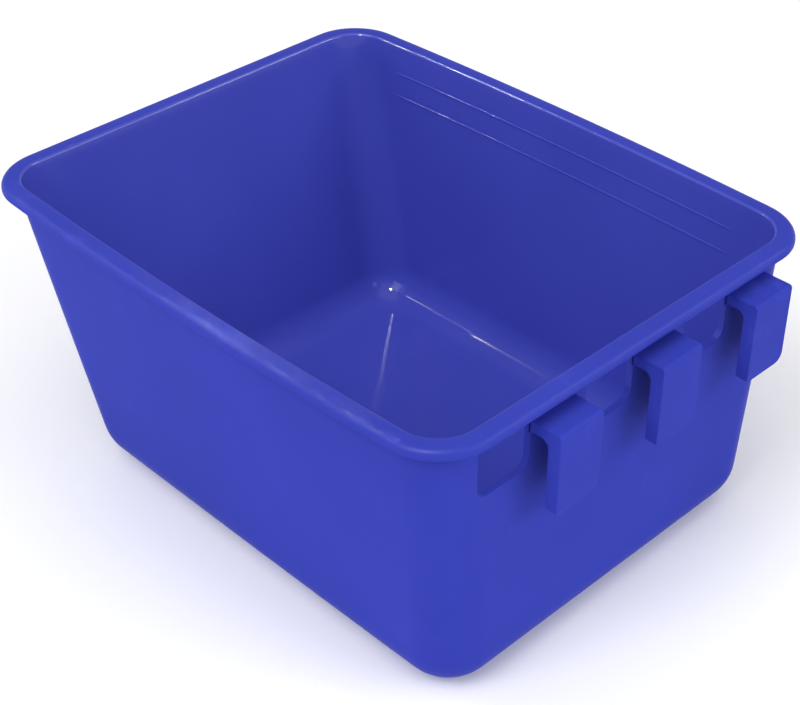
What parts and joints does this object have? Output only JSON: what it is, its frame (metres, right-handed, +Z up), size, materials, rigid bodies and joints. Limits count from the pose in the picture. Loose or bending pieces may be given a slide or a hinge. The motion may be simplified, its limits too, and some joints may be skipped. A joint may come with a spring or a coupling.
{
  "type": "hanging parts bin",
  "caption": "Open tapered plastic parts bin with rounded corners, a thick bead rim, and down-turned hooks beside windows on one end wall, so that it hangs on a rail or on another bin.",
  "frame": {"origin": "on the plane of the underside of the floor, below the middle of the bin's overall length and width, hooks included", "axes": "+Z up, +X towards the end wall that carries the hooks, +Y towards the bin's left side as seen from its slanted front"},
  "size_m": [0.262, 0.209, 0.1245],
  "materials": {
    "tub_plastic": "semi-gloss moulded blue polypropylene",
    "rim_plastic": "semi-gloss moulded blue polypropylene, slightly worn along the bead",
    "hook_plastic": "semi-gloss moulded blue polypropylene, scuffed where it hangs"
  },
  "bodies": {
    "root": {"floor_panel": "tub_plastic", "front_wall": "tub_plastic", "hook_wall": "tub_plastic", "right_wall": "tub_plastic", "left_wall": "tub_plastic", "corner_front_right": "tub_plastic", "corner_front_left": "tub_plastic", "corner_hook_right": "tub_plastic", "corner_hook_left": "tub_plastic", "rim_front": "rim_plastic", "rim_hook_end": "rim_plastic", "rim_right": "rim_plastic", "rim_left": "rim_plastic", "rim_corner_front_right": "rim_plastic", "rim_corner_front_left": "rim_plastic", "rim_corner_hook_right": "rim_plastic", "rim_corner_hook_left": "rim_plastic", "wall_ledges_left": "tub_plastic", "wall_ledges_right": "tub_plastic", "hook_right": "hook_plastic", "hook_centre": "hook_plastic", "hook_left": "hook_plastic"}
  },
  "joints": []
}
